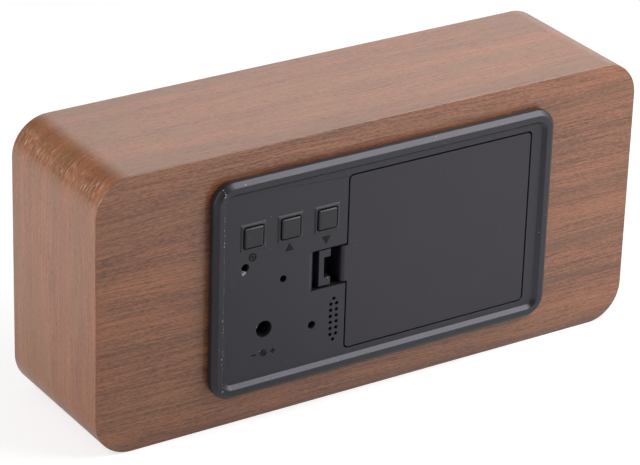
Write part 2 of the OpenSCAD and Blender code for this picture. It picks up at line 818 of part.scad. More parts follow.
// Tube of a few flat sides round a line of rings, capped at both ends, all in triangles
module coil_spring() {
  n = len(coil_rings);
  m = spring_sides;
  points = [for (ring = coil_rings, k = [0 : m - 1])
    ring[0] + spring_wire / 2 * (cos(360 * k / m) * ring[1] + sin(360 * k / m) * [0, 0, 1])];
  sides = [for (i = [0 : n - 2], k = [0 : m - 1], half = [0, 1])
    let (a = i * m + k, b = i * m + (k + 1) % m)
    half == 0 ? [a, b, a + m] : [b, b + m, a + m]];
  caps = [for (k = [1 : m - 2], end = [0, 1])
    end == 0 ? [0, k + 1, k] : [(n - 1) * m, (n - 1) * m + k, (n - 1) * m + k + 1]];
  polyhedron(points, concat(sides, caps));
}

module battery_springs() {
  color("gainsboro") for (i = [0 : cell_count - 1]) {
    s = i % 2 == 0 ? -1 : 1;
    x = s > 0 ? bay_x0 + contact_t : bay_x1 - contact_t;
    translate([x, cell_y, cell_z(i)]) rotate([0, 90 * s, 0]) coil_spring();
  }
}

// Short insulated lead from a solder tab to the control board
module battery_lead(z) {
  y = tab_y - contact_t / 2 - lead_r - seat;
  x = bay_x1 + tab_l - lead_lap;
  translate([x, y, z]) rotate([0, 90, 0]) cylinder(r = lead_r, h = lead_run);
  translate([x + lead_run, y + lead_bend, z]) rotate([0, 0, -90]) rotate_extrude(angle = 90)
    translate([lead_bend, 0]) circle(lead_r);
  peg([x + lead_run + lead_bend, z], lead_r, y + lead_bend, board_front_y);
}

module battery_lead_red() {
  color("firebrick") battery_lead(cell_z(cell_count - 1));
}

module battery_lead_black() {
  color("#202020") battery_lead(cell_z(0));
}

// Control board, cut out round the finger well
module control_board() {
  color("darkgreen") difference() {
    block([board_x0, board_x1], [board_front_y, board_back_y], [board_z0, board_z1]);
    block([board_x0 - cut, well_x + board_edge], [board_front_y - cut, board_back_y + cut],
      about(panel_z, well_h + 2 * board_edge));
    for (p = boss_places) peg(p, screw_r + screw_gap, board_front_y - cut, board_back_y + cut);
  }
}

module board_screws() {
  color("silver") for (p = boss_places) screw(p, board_front_y, 1, board_t + screw_grip - screw_short);
}

module tact_switches() {
  color("#2b2b2d") for (i = [0 : 2]) difference() {
    slab(board_back_y, board_back_y + switch_h) translate(button_place(i)) square(switch_size, center = true);
    peg(button_place(i), plunger_r + plunger_gap, plunger_y0 - button_travel - plunger_room,
      board_back_y + switch_h + cut);
  }
}

// Outline with two rounded upper corners, standing on the X axis
module crowned(w, h, r) {
  translate([-w / 2, 0]) square([w, h - r]);
  translate([r - w / 2, 0]) square([w - 2 * r, h]);
  for (s = [-1, 1]) translate([s * (w / 2 - r), h - r]) circle(r);
}

// Push button: rounded cap, flange under the field and a stem down to the switch
module push_button(i) {
  p = button_place(i);
  h = field_y + button_proud - flange_y0;
  color("#3b3a3e") {
    translate([p[0], flange_y0, p[1]]) intersection() {
      slab(0, h) rounded(button_size, button_size, button_r);
      linear_extrude(button_size, center = true) crowned(button_size, h, button_r);
      rotate([0, 90, 0]) linear_extrude(button_size, center = true) crowned(button_size, h, button_r);
    }
    slab(flange_y0, flange_y1) translate(p) square(button_hole + 2 * button_flange, center = true);
    peg(p, stem_r, plunger_y1, flange_y0 + weld);
  }
}

module set_button() {
  push_button(2);
}

module up_button() {
  push_button(1);
}

module down_button() {
  push_button(0);
}

module plunger(i) {
  color("dimgray") peg(button_place(i), plunger_r, plunger_y0, plunger_y1);
}

module set_plunger() {
  plunger(2);
}

module up_plunger() {
  plunger(1);
}

module down_plunger() {
  plunger(0);
}

module dc_jack() {
  p = control(inlet_at);
  color("#1d1d1f") difference() {
    slab(board_back_y, jack_y1) translate(p) square(jack_size, center = true);
    peg(p, jack_bore_r, board_back_y + jack_floor, jack_y1 + cut);
  }
}

module dc_jack_pin() {
  color("goldenrod") peg(control(inlet_at), jack_pin_r, board_back_y + jack_floor, jack_y1 - jack_pin_drop);
}

module buzzer() {
  p = [buzzer_x, control(grille_at)[1]];
  color("#242426") difference() {
    peg(p, buzzer_r, board_back_y, board_back_y + buzzer_h);
    peg(p, buzzer_port[0], board_back_y + buzzer_h - buzzer_port[1], board_back_y + buzzer_h + cut);
  }
}

module microphone() {
  p = control(mic_at);
  color("silver") difference() {
    peg(p, mic_r, board_back_y, board_back_y + mic_h);
    peg(p, mic_r - mic_lip, board_back_y + mic_h - mic_recess, board_back_y + mic_h + cut);
  }
}

// Bead on two legs that stand on the board
module thermistor() {
  p = control(sensor_at);
  color("#5a2f22") {
    translate([p[0], bead_y, p[1]]) sphere(bead_r);
    for (s = [-1, 1]) peg(p + [s * leg_gap, 0], leg_r, board_back_y, bead_y);
  }
}

// Flat chip on the board's front with a row of legs on two sides
module microcontroller() {
  p = control(chip_at);
  color("#1b1b1d") {
    slab(board_front_y - chip_h, board_front_y - seat) translate(p) square(chip_size, center = true);
    for (i = [0 : chip_pins - 1], s = [-1, 1])
      slab(board_front_y - chip_pin_t, board_front_y)
        translate(p + [(i - (chip_pins - 1) / 2) * chip_size / chip_pins, s * (chip_size + chip_pin_l) / 2])
          square([chip_pin_w, chip_pin_l + weld], center = true);
  }
}

// Small can that lies on the board, with its two leads bent down
module clock_crystal() {
  p = control(can_at);
  y = board_back_y + can_r + seat;
  color("gainsboro") {
    translate([p[0], y, p[1]]) rotate([0, 90, 0]) cylinder(r = can_r, h = can_l);
    for (s = [-1, 1]) {
      z = about(p[1] + s * leg_gap, can_leg);
      block([p[0] + can_l - weld, p[0] + can_l + can_reach], about(y, can_leg), z);
      block([p[0] + can_l + can_reach - can_leg, p[0] + can_l + can_reach], [board_back_y, y], z);
    }
  }
}

wood_case();
front_veneer();
display_reflector();
segment_diffusers();
display_leds();
display_board();
display_screws();
ribbon_cable();
ribbon_plugs();
rear_cover();
battery_door();
contact_plates();
battery_springs();
battery_lead_red();
battery_lead_black();
control_board();
board_screws();
tact_switches();
set_button();
up_button();
down_button();
set_plunger();
up_plunger();
down_plunger();
dc_jack();
dc_jack_pin();
buzzer();
microphone();
thermistor();
microcontroller();
clock_crystal();
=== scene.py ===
# %% [markdown]
# # A wooden alarm clock, seen from behind
# The clock is a block of fibreboard wrapped in printed wood film, with a black moulded cover in its back.
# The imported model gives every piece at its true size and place. This lesson dresses that model: it remakes
# the pieces whose edges and grain carry the look, gives all the others a finish, and sets up a plain studio.

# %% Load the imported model
import math

import bmesh
import bpy
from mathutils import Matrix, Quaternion, Vector


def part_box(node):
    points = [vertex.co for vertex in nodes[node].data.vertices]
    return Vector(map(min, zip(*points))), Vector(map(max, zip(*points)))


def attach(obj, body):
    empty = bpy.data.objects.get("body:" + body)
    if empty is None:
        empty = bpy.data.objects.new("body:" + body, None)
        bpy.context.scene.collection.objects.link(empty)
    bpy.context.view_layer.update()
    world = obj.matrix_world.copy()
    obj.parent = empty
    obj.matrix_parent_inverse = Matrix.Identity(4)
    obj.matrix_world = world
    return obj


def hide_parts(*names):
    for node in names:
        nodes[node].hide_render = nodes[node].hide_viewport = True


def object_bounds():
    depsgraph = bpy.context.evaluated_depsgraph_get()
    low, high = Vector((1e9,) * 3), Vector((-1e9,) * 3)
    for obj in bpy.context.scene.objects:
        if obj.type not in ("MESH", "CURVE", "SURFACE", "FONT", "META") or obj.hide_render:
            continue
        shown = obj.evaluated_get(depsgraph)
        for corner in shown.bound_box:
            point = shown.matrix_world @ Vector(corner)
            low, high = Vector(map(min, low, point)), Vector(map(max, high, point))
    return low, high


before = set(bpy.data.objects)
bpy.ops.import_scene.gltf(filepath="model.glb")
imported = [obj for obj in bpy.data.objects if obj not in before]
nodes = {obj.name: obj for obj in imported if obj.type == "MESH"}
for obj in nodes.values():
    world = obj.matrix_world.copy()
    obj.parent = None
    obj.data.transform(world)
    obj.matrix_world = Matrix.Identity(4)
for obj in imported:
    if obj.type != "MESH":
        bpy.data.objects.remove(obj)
cad_low, cad_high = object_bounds()
MM = 0.001
print("nodes:", len(nodes), "box in mm:", [round(x / MM, 2) for x in (*cad_low, *cad_high)])

# %% [markdown]
# ## The camera
# A long lens from far away keeps the clock's edges nearly parallel, as in a catalogue picture. The view is
# given as a point to look at, a distance, two angles round the clock and a slight roll of the camera.

# %% Set the camera
VIEW_POINT = Vector((2.894, 0.694, 33.141)) * MM
VIEW_DISTANCE = 773.83 * MM
VIEW_AZIMUTH = math.radians(146.757)
VIEW_ELEVATION = math.radians(25.776)
VIEW_ROLL = math.radians(1.812)
LENS_MM = 180.97
CLIP_NEAR, CLIP_FAR = 10 * MM, 20

towards_camera = Vector((
    math.sin(VIEW_AZIMUTH) * math.cos(VIEW_ELEVATION),
    -math.cos(VIEW_AZIMUTH) * math.cos(VIEW_ELEVATION),
    math.sin(VIEW_ELEVATION),
))
bpy.ops.object.camera_add(location=VIEW_POINT + towards_camera * VIEW_DISTANCE)
camera = bpy.context.object
camera.rotation_mode = "QUATERNION"
camera.rotation_quaternion = (-towards_camera).to_track_quat("-Z", "Y") @ Quaternion((0, 0, 1), VIEW_ROLL)
camera.data.lens = LENS_MM
camera.data.clip_start = CLIP_NEAR
camera.data.clip_end = CLIP_FAR
bpy.context.scene.camera = camera
print("camera at", [round(x, 4) for x in camera.location])

# %% [markdown]
# ## Helpers for modelling
# Edit mode works on what is selected, so each step first deselects everything and then picks faces or edges
# by their place. These few helpers keep the modelling cells short.

# %% Select and bevel
SAME = 0.001 * MM
NEAR = 0.01 * MM


def only(piece):
    """Selects one object alone and makes it the active one."""
    bpy.ops.object.select_all(action="DESELECT")
    piece.select_set(True)
    bpy.context.view_layer.objects.active = piece


def edit(piece):
    only(piece)
    bpy.ops.object.mode_set(mode="EDIT")


def done():
    bpy.ops.object.mode_set(mode="OBJECT")


def pick(kind, test):
    """Selects those faces or edges of the mesh in edit mode that pass a test."""
    bpy.ops.mesh.select_mode(type={"edges": "EDGE", "faces": "FACE"}[kind])
    bpy.ops.mesh.select_all(action="DESELECT")
    mesh = bpy.context.object.data
    shape = bmesh.from_edit_mesh(mesh)
    chosen = [item for item in getattr(shape, kind) if test(item)]
    for item in chosen:
        item.select_set(True)
    shape.select_flush_mode()
    bmesh.update_edit_mesh(mesh)
    return len(chosen)


def bevel_edges(piece, test, width, segments, **settings):
    """Bevels the edges that pass a test and says how many they were."""
    edit(piece)
    count = pick("edges", test)
    bpy.ops.mesh.bevel(offset=width, segments=segments, affect="EDGES", clamp_overlap=False, **settings)
    done()
    return count


# %% [markdown]
# Modifiers are applied at once, so that each piece ends as a plain mesh. Blocks start from the cube
# primitive, and a cutter is a block that a Boolean takes away.

# %% Build and finish blocks
SMOOTH_ANGLE = 35
ALONG_Y = 0.99


def apply_modifier(piece, kind, **settings):
    only(piece)
    modifier = piece.modifiers.new(kind.lower(), kind)
    for key, value in settings.items():
        setattr(modifier, key, value)
    bpy.ops.object.modifier_apply(modifier=modifier.name)


def smooth(piece, degrees=SMOOTH_ANGLE):
    """Smooth shading that keeps sharp edges sharp and large flat faces flat."""
    only(piece)
    bpy.ops.object.shade_smooth_by_angle(angle=math.radians(degrees))
    apply_modifier(piece, "WEIGHTED_NORMAL", keep_sharp=True)


def belongs(piece, body, slot, *stands_for):
    """Says which body a piece moves with and which CAD nodes it stands for; the slot, a finish's name, is not
    used.
    """
    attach(piece, body)
    if stands_for:
        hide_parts(*stands_for)


def block(name, low, high):
    """A plain block between two corners, with its place in its mesh."""
    low, high = Vector(low), Vector(high)
    bpy.ops.object.select_all(action="DESELECT")
    bpy.ops.mesh.primitive_cube_add(size=1, location=(low + high) / 2, scale=high - low)
    piece = bpy.context.object
    piece.name = piece.data.name = name
    bpy.ops.object.transform_apply(location=True, rotation=True, scale=True)
    return piece


def rounded_block(name, low, high, radius, segments):
    """A block whose four edges along Y are rounded."""
    piece = block(name, low, high)
    bevel_edges(piece, lambda e: abs((e.verts[0].co - e.verts[1].co).normalized().y) > ALONG_Y,
                radius, segments)
    return piece


def carve(piece, cutter):
    apply_modifier(piece, "BOOLEAN", operation="DIFFERENCE", solver="EXACT", object=cutter)
    bpy.data.objects.remove(cutter)


def grown(box, margin, y0, y1):
    """Corners of a box that is wider all round than another, between two depths."""
    low, high = box
    return (low.x - margin, y0, low.z - margin), (high.x + margin, y1, high.z + margin)


def centre_of(box):
    return (box[0] + box[1]) / 2


# %% [markdown]
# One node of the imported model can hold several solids, such as the four springs. Walking from point to
# point along the edges finds them one by one.


# %% Find the solids in a node
def solids_of(node):
    """Boxes of the separate solids in one CAD node."""
    shape = bmesh.new()
    shape.from_mesh(nodes[node].data)
    bmesh.ops.remove_doubles(shape, verts=shape.verts, dist=SAME)
    left, boxes = set(shape.verts), []
    while left:
        reached, front = [], [left.pop()]
        while front:
            vert = front.pop()
            reached.append(vert.co.copy())
            for edge in vert.link_edges:
                other = edge.other_vert(vert)
                if other in left:
                    left.remove(other)
                    front.append(other)
        boxes.append((Vector(map(min, *reached)), Vector(map(max, *reached))))
    shape.free()
    return boxes


# %% [markdown]
# ## The wooden case
# The real case is fibreboard with a sheet of printed film glued round it, so its grain runs round the long
# rounded edges, and the back has a sheet of its own. A block with four bevelled edges gives the form, with
# clean faces that shade well. The pocket for the cover and the window for the digits are cut out of it, and
# a fine bevel breaks the sharp edge.

# %% Model the case
CORNER_R, CORNER_STEPS = 9.3 * MM, 16
EDGE_BREAK, BREAK_STEPS = 0.25 * MM, 3
COVER_LAND = 3.2 * MM
POCKET_R, POCKET_STEPS = 2.1 * MM, 6
FRONT_WALL = 3.0 * MM
REFLECTOR_EDGE = 3.1 * MM
WINDOW_GAP = 0.2 * MM
WINDOW_R, WINDOW_STEPS = 0.3 * MM, 2
PAST = 1.0 * MM

case_low, case_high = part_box("wood_case")
cover_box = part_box("rear_cover")
pocket_y = case_low.y + FRONT_WALL


def break_edge(piece, y):
    """Bevels the outline of the face at one depth by a hair."""
    bevel_edges(piece, lambda e: all(abs(v.co.y - y) < NEAR for v in e.verts), EDGE_BREAK, BREAK_STEPS)


case = rounded_block("case_film", case_low, case_high, CORNER_R, CORNER_STEPS)
break_edge(case, case_high.y)
pocket = grown(cover_box, -COVER_LAND, pocket_y, case_high.y + PAST)
window = grown(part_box("segment_diffusers"), REFLECTOR_EDGE + WINDOW_GAP, case_low.y - PAST, pocket_y + PAST)
carve(case, rounded_block("cutter", *pocket, POCKET_R, POCKET_STEPS))
carve(case, rounded_block("cutter", *window, WINDOW_R, WINDOW_STEPS))
smooth(case)
belongs(case, "clock_body", "wood_film", "wood_case")
print("case faces:", len(case.data.polygons))

# %% [markdown]
# The grain has to follow the film, so each face corner stores its place on the sheet: the distance along
# the grain and the distance across it. Round the case, the way along is measured over the rounded edges
# too. The third number moves each flat sheet to another part of the pattern.

# %% Lay the grain along the film
WRAP_SHEET, BACK_SHEET, FRONT_SHEET, UNDER_SHEET = 0, 0.3, 0.6, 0.9
FLAT_FACE, FLAT_UNDER = 0.9, 0.99


def way_round(x, z):
    """Distance along the film from the middle of the top, over a rounded edge and down a side."""
    flat = case_high.x - CORNER_R
    top = case_high.z - CORNER_R
    bottom = case_low.z + CORNER_R
    quarter = CORNER_R * math.pi / 2
    side = 1 if x > 0 else -1
    x = abs(x)
    if z >= top:
        turn = math.atan2(x - flat, z - top) if x > flat else 0
        return side * (min(x, flat) + CORNER_R * turn)
    if z > bottom:
        return side * (flat + quarter + top - z)
    turn = math.atan2(bottom - z, max(x - flat, 0))
    return side * (flat + quarter + top - bottom + CORNER_R * turn)


def lay_grain(piece):
    mesh = piece.data
    place = mesh.attributes.new("grain", "FLOAT_VECTOR", "CORNER")
    for face in mesh.polygons:
        for corner in face.loop_indices:
            x, y, z = mesh.vertices[mesh.loops[corner].vertex_index].co
            if abs(face.normal.y) > FLAT_FACE:
                place.data[corner].vector = (x, z, BACK_SHEET if face.normal.y > 0 else FRONT_SHEET)
            elif face.normal.z < -FLAT_UNDER:
                place.data[corner].vector = (x, y, UNDER_SHEET)
            else:
                place.data[corner].vector = (way_round(x, z), y, WRAP_SHEET)


lay_grain(case)
print("film round the case in mm:", round(2 * way_round(SAME, case_low.z) / MM, 1))

# %% [markdown]
# ## The front veneer
# The front is a thin sheet that the digits shine through. It is a bevelled block like the case, only thin.

# %% Model the veneer
veneer_low, veneer_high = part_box("front_veneer")
veneer = rounded_block("veneer_sheet", veneer_low, veneer_high, CORNER_R, CORNER_STEPS)
break_edge(veneer, veneer_low.y)
smooth(veneer)
lay_grain(veneer)
belongs(veneer, "clock_body", "veneer", "front_veneer")
print("veneer faces:", len(veneer.data.polygons))

# %% [markdown]
# ## The mouldings
# The cover, the door and the buttons have the right shape already, but moulded plastic never has knife
# edges, and it is the small rounded edges that catch the light. They could all be modelled anew. It is
# surer to work on a copy of each piece, with its points merged and its flat triangles dissolved.

# %% Copy the mouldings
FLAT_ANGLE = math.radians(0.5)


def moulding(name, node):
    """A merged copy of a CAD piece, ready for edit mode."""
    piece = bpy.data.objects.new(name, nodes[node].data.copy())
    bpy.context.scene.collection.objects.link(piece)
    piece.data.name = name
    edit(piece)
    bpy.ops.mesh.customdata_custom_splitnormals_clear()
    bpy.ops.mesh.select_all(action="SELECT")
    bpy.ops.mesh.remove_doubles(threshold=SAME)
    bpy.ops.mesh.dissolve_limited(angle_limit=FLAT_ANGLE)
    done()
    return piece


cover = moulding("cover_moulding", "rear_cover")
door = moulding("door_moulding", "battery_door")
keys = {name: moulding(name + "_cap", name + "_button") for name in ("set", "up", "down")}
print("mouldings:", [(piece.name, len(piece.data.polygons)) for piece in (cover, door, *keys.values())])

# %% [markdown]
# The cover's opening has rounded corners at the door's hinge end, as the door has. In the copy, two upright
# edges stand in those corners, so one bevel of just these edges is enough.

# %% Round the opening's corners
OPENING_R, OPENING_STEPS = 1.1 * MM, 6
HINGE_GAP = 1 * MM

door_low, door_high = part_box("battery_door")
field_y = door_high.y
crest_y = cover_box[1].y


def in_hinge_corner(edge):
    """The two upright edges in the corners of the opening, beyond the door's hinge end."""
    a, b = (v.co for v in edge.verts)
    upright = abs(a.x - b.x) + abs(a.z - b.z) < NEAR and max(a.y, b.y) > field_y - NEAR
    return upright and door_low.x - HINGE_GAP < a.x < door_low.x


print("opening corners:", bevel_edges(cover, in_hinge_corner, OPENING_R, OPENING_STEPS))

# %% [markdown]
# Then the edges that show are picked by their angle and their place and bevelled. The new narrow faces take
# the second material of the piece, a lighter finish that is partly wear and partly a painted highlight on the
# edges. The finger notch is left out, because its lip is round already.

# %% Round over the moulded edges
CREST_ROUND, LIP_ROUND, FIELD_ROUND, KEY_ROUND = (w * MM for w in (0.15, 0.07, 0.1, 0.1))
SOFT_STEPS, FINE_STEPS = 3, 2
SHARP_ANGLE, FIELD_ANGLE = 25, 35
MOULD_SMOOTH = 24
SLACK = 0.05 * MM
LIP_FROM, LIP_TO = field_y + 0.2 * MM, field_y + 0.3 * MM
RIM_FOOT = case_high.y + 0.3 * MM
DOOR_FACE = 0.5 * MM
NOTCH_BEFORE, NOTCH_BEYOND, NOTCH_HALF = 1 * MM, 4 * MM, 6 * MM


def round_over(piece, width, segments, test, least_angle=SHARP_ANGLE):
    """Bevels the edges that are sharper than an angle and pass a test of their middle."""
    count = bevel_edges(piece, lambda e: len(e.link_faces) == 2
                        and e.calc_face_angle() > math.radians(least_angle)
                        and test((e.verts[0].co + e.verts[1].co) / 2), width, segments, material=1)
    print(piece.name, "edges rounded:", count)


def by_finger_notch(p):
    """The scooped lip of the finger notch, which has its own round form already."""
    beside = door_high.x - NOTCH_BEFORE < p.x < door_high.x + NOTCH_BEYOND
    return beside and abs(p.z - (door_low.z + door_high.z) / 2) < NOTCH_HALF


def on_field(p):
    """The field and what lies below it, down to the foot of the rim."""
    return RIM_FOOT < p.y < field_y + SLACK and not by_finger_notch(p)


round_over(cover, CREST_ROUND, SOFT_STEPS, lambda p: p.y > crest_y - SLACK)
round_over(cover, LIP_ROUND, FINE_STEPS, lambda p: LIP_FROM < p.y < LIP_TO)
round_over(cover, FIELD_ROUND, FINE_STEPS, on_field, FIELD_ANGLE)
round_over(door, FIELD_ROUND, FINE_STEPS, lambda p: p.y > field_y - DOOR_FACE)
belongs(cover, "clock_body", "cover_plastic", "rear_cover")
belongs(door, "door", "door_plastic", "battery_door")
for name, key in keys.items():
    round_over(key, KEY_ROUND, SOFT_STEPS, lambda p: p.y > LIP_FROM)
    belongs(key, name + "_key", "button_plastic", name + "_button")
for piece in (cover, door, *keys.values()):
    smooth(piece, MOULD_SMOOTH)

# %% [markdown]
# ## Signs on the plastic
# Plain raised signs tell what each control does: a ring for choosing, two arrowheads for up and down, and
# the usual polarity sign by the power inlet. They could be painted on, but moulded ones catch the light.
# Each starts from a flat primitive or a small block and stands out by a hair's breadth.

# %% Shape the signs
SIGN_LIFT = 0.12 * MM
SIGN_SINK = 0.05 * MM
SIGN_STROKE = 0.32 * MM
STROKE_END, STROKE_STEPS = SIGN_STROKE * 0.45, 3
RING_SIDES, DOT_SIDES, ARROW_SIDES = 32, 16, 3
FACING_BACK = 0.5


def flat_start(name, place, sides, radius, turn=0):
    """A flat many-sided face that looks along +Y, with its points in the mesh's own place."""
    bpy.ops.object.select_all(action="DESELECT")
    bpy.ops.mesh.primitive_circle_add(vertices=sides, radius=radius, fill_type="NGON", location=place,
                                      rotation=(-math.pi / 2, turn, 0))
    sign = bpy.context.object
    sign.name = sign.data.name = name
    bpy.ops.object.transform_apply(location=True, rotation=True, scale=True)
    return sign


def raise_sign(sign):
    """Extrudes a flat sign off the face that carries it and turns its faces outwards."""
    edit(sign)
    bpy.ops.mesh.select_all(action="SELECT")
    bpy.ops.mesh.extrude_region_move(TRANSFORM_OT_translate={"value": (0, SIGN_LIFT + SIGN_SINK, 0)})
    bpy.ops.mesh.select_all(action="SELECT")
    bpy.ops.mesh.normals_make_consistent(inside=False)
    done()
    return sign


def arrowhead(name, place, radius, turn=0):
    return raise_sign(flat_start(name, place, ARROW_SIDES, radius, turn))


def dot(name, place, radius):
    return raise_sign(flat_start(name, place, DOT_SIDES, radius))


def ring(name, place, radius):
    sign = flat_start(name, place, RING_SIDES, radius)
    edit(sign)
    bpy.ops.mesh.select_all(action="SELECT")
    bpy.ops.mesh.inset(thickness=SIGN_STROKE)
    bpy.ops.mesh.delete(type="FACE")
    done()
    return raise_sign(sign)


def sign_corners(place, length, lift):
    """Corners of a bar along X that stands on a face."""
    half = Vector((length, 0, SIGN_STROKE)) / 2
    return Vector(place) - half, Vector(place) + half + Vector((0, lift + SIGN_SINK, 0))


def stroke(name, place, length, lift=SIGN_LIFT):
    """A bar along X with round ends."""
    return rounded_block(name, *sign_corners(place, length, lift), STROKE_END, STROKE_STEPS)


def cross(name, place, length, lift=SIGN_LIFT):
    """A plus sign: a small block whose four side faces are drawn out."""
    sign = block(name, *sign_corners(place, SIGN_STROKE, lift))
    edit(sign)
    pick("faces", lambda f: abs(f.normal.y) < FACING_BACK)
    bpy.ops.mesh.extrude_faces_move(TRANSFORM_OT_shrink_fatten={"value": (length - SIGN_STROKE) / 2})
    done()
    return sign


def join(name, *parts):
    """Makes several finished parts one object."""
    only(parts[0])
    for part in parts[1:]:
        part.select_set(True)
    bpy.ops.object.join()
    parts[0].name = parts[0].data.name = name
    return parts[0]


# %% [markdown]
# Each sign goes straight below the control that it explains, a little sunk into the cover's field, so that
# no gap shows under it.

# %% Place the signs
LABEL_DROP = 5.3 * MM
ARROW_R = 1.25 * MM
RING_R = 1.0 * MM
POLARITY_DROP = 6.3 * MM
POLARITY_STEP = 2.6 * MM
POLARITY_R = 0.85 * MM
POLARITY_MARK = 1.2 * MM


def under(node, drop):
    """Place on the field below the middle of a control."""
    middle = centre_of(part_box(node))
    return Vector((middle.x, field_y - SIGN_SINK, middle.z - drop))


set_spot = under("set_button", LABEL_DROP)
signs = [
    join("set_sign", ring("a", set_spot, RING_R), dot("b", set_spot, SIGN_STROKE)),
    arrowhead("up_sign", under("up_button", LABEL_DROP), ARROW_R, math.pi),
    arrowhead("down_sign", under("down_button", LABEL_DROP), ARROW_R),
]
pole = under("dc_jack", POLARITY_DROP)
step = Vector((POLARITY_STEP, 0, 0))
signs.append(join("polarity_sign", ring("a", pole, POLARITY_R), dot("b", pole, SIGN_STROKE),
                  stroke("c", pole + step, POLARITY_MARK), cross("d", pole - step, POLARITY_MARK)))
for sign in signs:
    belongs(sign, "clock_body", "cover_plastic")
print("signs:", [sign.name for sign in signs])

# %% [markdown]
# ## The battery bay
# Each contact spring is a cone of wire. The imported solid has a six-sided wire, so a round wire is drawn
# along the same line: a curve whose points follow a formula, with a bevel for its thickness, then made a
# mesh.

# %% Wind a spring
WIRE_D, WIRE_STEPS = 0.7 * MM, 3
SPRING_BASE_R = 3.6 * MM
SPRING_TIP_R = 2.4 * MM
SPRING_TURNS = 3.25
POINTS_PER_TURN = 28
SPRING_SMOOTH = 40

bay_x = centre_of(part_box("contact_plates")).x


def spring_line(low, high):
    """Points of a coil that narrows away from its contact plate, with a short straight at each end."""
    middle = (low + high) / 2
    away = 1 if middle.x < bay_x else -1
    base_x = low.x if away > 0 else high.x
    rise = (high.x - low.x - WIRE_D) / SPRING_TURNS

    def at(turns, slip=0):
        angle = 2 * math.pi * turns
        radius = SPRING_BASE_R + (SPRING_TIP_R - SPRING_BASE_R) * turns / SPRING_TURNS
        along = WIRE_D / 2 + rise * turns
        out, over = (math.cos(angle), math.sin(angle)), (-math.sin(angle), math.cos(angle))
        a, b = (radius * out[i] + slip * over[i] for i in (0, 1))
        return Vector((base_x + away * along, middle.y + b, middle.z - away * a))

    steps = round(SPRING_TURNS * POINTS_PER_TURN)
    line = [at(i / POINTS_PER_TURN) for i in range(steps + 1)]
    return [at(0, -WIRE_D), *line, at(SPRING_TURNS, WIRE_D)]


def contact_spring(name, low, high):
    """A round wire along a spring's line."""
    points = spring_line(low, high)
    curve = bpy.data.curves.new(name, "CURVE")
    curve.dimensions = "3D"
    curve.bevel_depth = WIRE_D / 2
    curve.bevel_resolution = WIRE_STEPS
    curve.use_fill_caps = True
    spline = curve.splines.new("POLY")
    spline.points.add(len(points) - 1)
    for point, place in zip(spline.points, points):
        point.co = (*place, 1)
    spring = bpy.data.objects.new(name, curve)
    bpy.context.scene.collection.objects.link(spring)
    only(spring)
    bpy.ops.object.convert(target="MESH")
    bpy.ops.object.shade_smooth_by_angle(angle=math.radians(SPRING_SMOOTH))
    return spring


# %% [markdown]
# Plus and minus signs on the bay's floor show which way each cell goes in. The minus sign is at the
# spring's end of its cell, and the plus sign is at the other end.

# %% Fit out the bay
BAY_FLOOR_Y = 9.1 * MM
BAY_SIGN_IN = 8.0 * MM
BAY_SIGN_SIZE = 2.6 * MM
BAY_SIGN_LIFT = 0.25 * MM

springs = []
bay_signs = []
for i, (low, high) in enumerate(sorted(solids_of("battery_springs"), key=lambda box: -box[0].z), 1):
    spring = contact_spring(f"contact_spring_{i}", low, high)
    belongs(spring, "clock_body", "nickel", "battery_springs")
    springs.append(spring)
    centre = (low + high) / 2
    inwards = Vector((1 if centre.x < bay_x else -1, 0, 0))
    minus_at = Vector((centre.x, BAY_FLOOR_Y - SIGN_SINK, centre.z)) + inwards * BAY_SIGN_IN
    plus_at = Vector((2 * bay_x - minus_at.x, minus_at.y, minus_at.z))
    bay_signs.append(stroke(f"minus_sign_{i}", minus_at, BAY_SIGN_SIZE, BAY_SIGN_LIFT))
    bay_signs.append(cross(f"plus_sign_{i}", plus_at, BAY_SIGN_SIZE, BAY_SIGN_LIFT))
for sign in bay_signs:
    belongs(sign, "clock_body", "cover_plastic")
print("springs:", len(springs), "bay signs:", len(bay_signs))

# %% [markdown]
# ## Shader maths
# A finish is a small network of nodes. To read like a formula, a socket is wrapped in a class whose
# operators add Math nodes.


# %% Wrap sockets for sums
class Flow:
    """A value on its way through a node network: sums on it add Math nodes."""

    def __init__(self, board, socket):
        self.board = board
        self.socket = socket

    def math(self, operation, *others):
        sockets = dict(enumerate((self, *others)))
        return self.board.add("ShaderNodeMath", {"operation": operation}, sockets)

    def __add__(self, other):
        return self.math("ADD", other)

    def __sub__(self, other):
        return self.math("SUBTRACT", other)

    def __mul__(self, other):
        return self.math("MULTIPLY", other)

    def __rsub__(self, other):
        return self.board.add("ShaderNodeMath", {"operation": "SUBTRACT"}, {0: other, 1: self})

    __radd__ = __add__
    __rmul__ = __mul__

    def __abs__(self):
        return self.math("ABSOLUTE")

    def swing(self):
        """A noise, which runs from 0 to 1, as a swing about 0."""
        return self - 0.5

    def between(self, low, high):
        """0 below low, 1 above high, and a smooth step from one to the other."""
        return self.board.add("ShaderNodeMapRange", {"interpolation_type": "SMOOTHSTEP"},
                              {"Value": self, "From Min": low, "From Max": high})


# %% [markdown]
# A second class stands for the whole network. Its method `add` makes any kind of node with its settings and
# its inputs, and short methods on top of it give the nodes that come up again and again.


